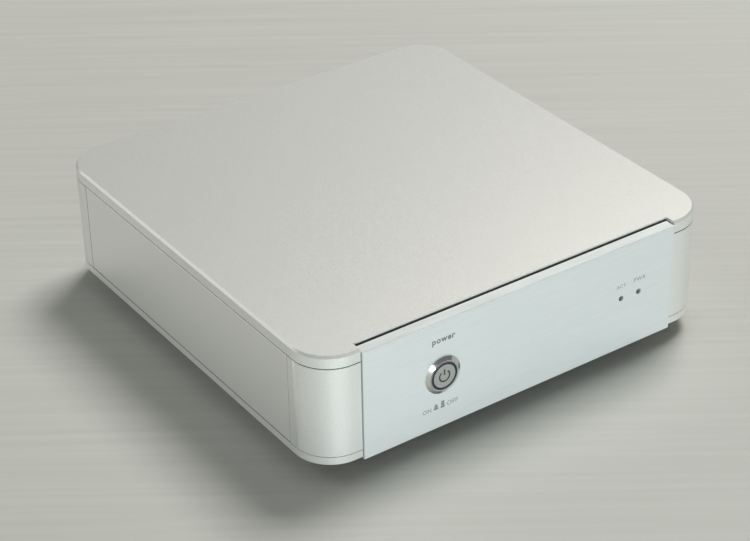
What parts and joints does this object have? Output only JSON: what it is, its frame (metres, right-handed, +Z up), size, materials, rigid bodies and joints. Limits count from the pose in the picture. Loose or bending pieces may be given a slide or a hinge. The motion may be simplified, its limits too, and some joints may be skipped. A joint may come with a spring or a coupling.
{
  "type": "media player",
  "caption": "Compact media player in a satin silver aluminium case with a lit push button, with a drive tray sliding out at the back.",
  "frame": {"origin": "the middle of the footprint, on the surface that the feet stand on", "axes": "+Z up, +Y from the front panel towards the back, +X to the right as seen from the front"},
  "size_m": [0.21, 0.224, 0.062],
  "materials": {
    "anodised_silver": "satin anodised silver",
    "anodised_panel": "fine brushed and anodised silver",
    "dark_steel": "blackened steel",
    "bright_steel": "zinc plated steel",
    "brass": "plated brass",
    "stainless": "polished stainless steel",
    "satin_cap": "satin stainless steel",
    "blue_lens": "translucent dark blue, unlit",
    "black_rubber": "matte black rubber",
    "black_plastic": "moulded black plastic",
    "dark_lens": "smoked clear lens, unlit",
    "circuit_green": "green solder mask",
    "glass": "clear glass with plated end caps",
    "winding": "varnished winding under clear tape",
    "capacitor_sleeve": "dark shrink sleeve",
    "black_aluminium": "black anodised",
    "socket_steel": "tinned steel can",
    "white_plastic": "natural white plastic",
    "zinc_steel": "zinc plated sheet",
    "drive_case": "cast and pressed aluminium",
    "wire_sleeve": "insulated wire"
  },
  "bodies": {
    "case": {"activity_led": "dark_lens", "audio_socket_lower": "brass", "audio_socket_upper": "brass", "base_plate": "anodised_silver", "board_headers": "white_plastic", "board_screws": "bright_steel", "board_standoffs": "brass", "button_bezel": "stainless", "button_nut": "stainless", "button_seal": "black_rubber", "button_switch_block": "black_plastic", "case_bolts": "dark_steel", "corner_post_front_left": "anodised_silver", "corner_post_front_right": "anodised_silver", "corner_post_rear_left": "anodised_silver", "corner_post_rear_right": "anodised_silver", "drive_dock": "black_plastic", "drive_rail_left": "black_plastic", "drive_rail_right": "black_plastic", "drive_shelf": "zinc_steel", "filter_capacitors": "capacitor_sleeve", "foot_front_left": "black_rubber", "foot_front_right": "black_rubber", "foot_rear_left": "black_rubber", "foot_rear_right": "black_rubber", "foot_screws": "bright_steel", "front_panel": "anodised_panel", "inlet_screws": "dark_steel", "led_board": "circuit_green", "main_board": "circuit_green", "mains_inlet": "black_plastic", "mains_wiring": "wire_sleeve", "network_socket": "socket_steel", "panel_screws": "dark_steel", "power_led": "dark_lens", "processor_heatsink": "black_aluminium", "rear_panel": "anodised_panel", "regulator_heatsink": "black_aluminium", "side_panel_left": "anodised_silver", "side_panel_right": "anodised_silver", "signal_wiring": "wire_sleeve", "supply_board": "circuit_green", "supply_parts": "black_plastic", "top_cover": "anodised_silver", "transformer": "winding", "transformer_bolt": "bright_steel", "transformer_dish": "dark_steel", "transformer_pads": "black_rubber", "usb_sockets": "socket_steel", "video_socket": "socket_steel"},
    "button": {"button_cap": "satin_cap", "button_light_ring": "blue_lens"},
    "tray": {"drive_tray": "zinc_steel", "tray_front": "anodised_panel", "handle_pin": "bright_steel", "hard_drive": "drive_case", "drive_screws": "bright_steel"},
    "handle": {"tray_handle": "anodised_panel"},
    "fuse_holder": {"fuse_drawer": "black_plastic", "fuse": "glass"}
  },
  "joints": [
    {"name": "button_press", "type": "slide", "parent": "case", "child": "button", "axis": [0, 1, 0], "range_m": [0, 0.0022], "stiffness_N_per_m": 400, "springref_m": -0.003},
    {"name": "tray_slide", "type": "slide", "parent": "case", "child": "tray", "axis": [0, 1, 0], "range_m": [0, 0.08]},
    {"name": "handle_swing", "type": "hinge", "parent": "tray", "child": "handle", "pos_m": [0.0112, 0.1051, 0.0438], "axis": [0, 0, 1], "range_deg": [0, 75]},
    {"name": "fuse_drawer_slide", "type": "slide", "parent": "case", "child": "fuse_holder", "axis": [0, 1, 0], "range_m": [0, 0.014]}
  ]
}
